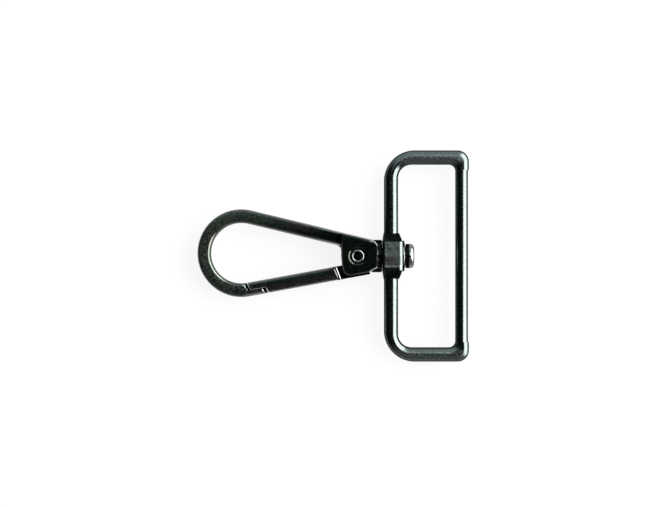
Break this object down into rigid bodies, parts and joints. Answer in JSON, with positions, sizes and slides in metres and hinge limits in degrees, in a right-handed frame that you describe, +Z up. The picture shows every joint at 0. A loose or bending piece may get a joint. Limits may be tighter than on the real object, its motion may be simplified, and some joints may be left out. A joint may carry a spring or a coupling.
{
  "type": "swivel snap hook",
  "caption": "Cast swivel snap hook: teardrop bight with a sprung, lapped gate, turning on a peened post in the boss of a rectangular webbing ring.",
  "frame": {"origin": "middle of the overall box at its underside, with the hook lying flat", "axes": "+X along the swivel post from the hook towards the webbing ring, +Y across it towards the spine, +Z up, along the gate's rivet"},
  "size_m": [0.0566, 0.044, 0.007],
  "materials": {
    "hook_casting": "gunmetal plate, slightly mottled",
    "gate_casting": "gunmetal plate, slightly mottled",
    "rivet_steel": "gunmetal plate, bright",
    "spring_steel": "bare spring wire",
    "washer_steel": "gunmetal plate",
    "ring_casting": "polished gunmetal plate"
  },
  "bodies": {
    "hook": {"hook_body": "hook_casting", "gate_rivet": "rivet_steel", "gate_spring": "spring_steel", "post_washer": "washer_steel"},
    "gate": {"gate": "gate_casting"},
    "ring": {"swivel_ring": "ring_casting"}
  },
  "joints": [
    {"name": "gate_hinge", "type": "hinge", "parent": "hook", "child": "gate", "pos_m": [0.00507, 0, 0.0035], "axis": [0, 0, -1], "range_deg": [0, 26], "stiffness_Nm_per_rad": 0.03, "springref_deg": -68.75, "deforming": ["gate_spring"]},
    {"name": "ring_swivel", "type": "hinge", "parent": "hook", "child": "ring", "pos_m": [0.01225, 0, 0.0035], "axis": [1, 0, 0], "continuous": true}
  ]
}
